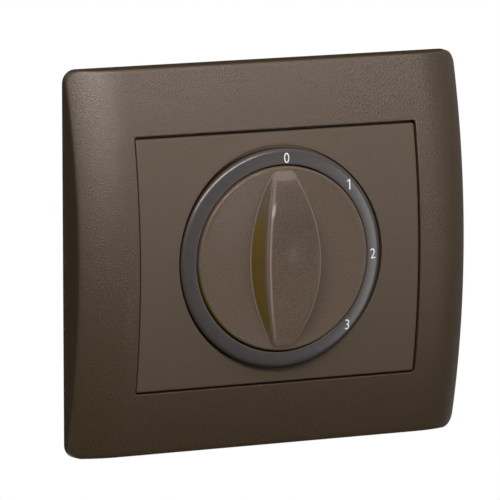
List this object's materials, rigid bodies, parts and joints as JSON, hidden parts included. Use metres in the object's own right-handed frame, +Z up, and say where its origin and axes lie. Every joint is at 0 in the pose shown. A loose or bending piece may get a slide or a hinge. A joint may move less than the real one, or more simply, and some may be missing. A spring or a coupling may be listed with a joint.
{
  "type": "rotary switch",
  "caption": "Wall-mounted rotary switch: crowned bronze frame, arched cover plate, numbered dial ring and a round knob with a lens-shaped grip turning a cam switch.",
  "frame": {"origin": "on the knob axis, in the plane of the wall that the frame's back rests on", "axes": "+X to the right seen from the front, +Z up, +Y into the wall; the knob faces -Y"},
  "size_m": [0.0908, 0.0423, 0.082],
  "materials": {
    "frame_lacquer": "satin bronze lacquer with fine mica sparkle on moulded plastic",
    "plate_lacquer": "satin bronze lacquer with fine mica sparkle on moulded plastic",
    "dial_grey": "satin dark grey plastic with white printed numerals",
    "knob_bronze": "glossy bronze plastic with mica flakes",
    "spring_steel": "hardened spring steel strip",
    "plated_steel": "zinc-plated steel",
    "housing_grey": "light grey moulded plastic",
    "cam_white": "natural white acetal",
    "contact_brass": "bare stamped brass"
  },
  "bodies": {
    "base": {"outer_frame": "frame_lacquer", "cover_plate": "plate_lacquer", "dial_ring": "dial_grey", "detent_spring": "spring_steel", "support_yoke": "plated_steel", "plate_nut": "plated_steel", "terminal_screws": "plated_steel", "yoke_screws": "plated_steel", "cover_screws": "plated_steel", "front_housing": "housing_grey", "rear_cover": "housing_grey", "thrust_washer": "cam_white", "contact_blade_1": "contact_brass", "contact_blade_2": "contact_brass", "contact_blade_3": "contact_brass", "fixed_contact_1": "contact_brass", "fixed_contact_2": "contact_brass", "fixed_contact_3": "contact_brass", "common_bar": "contact_brass", "supply_terminal": "contact_brass", "terminal_1": "contact_brass", "terminal_2": "contact_brass", "terminal_3": "contact_brass"},
    "rotor": {"knob": "knob_bronze", "hub_ring": "spring_steel", "spindle": "plated_steel", "cam_rotor": "cam_white", "spindle_clip": "spring_steel"}
  },
  "joints": [
    {"name": "knob_turn", "type": "hinge", "parent": "base", "child": "rotor", "pos_m": [0, 0, 0], "axis": [0, 1, 0], "range_deg": [0, 135], "deforming": ["detent_spring"]}
  ]
}
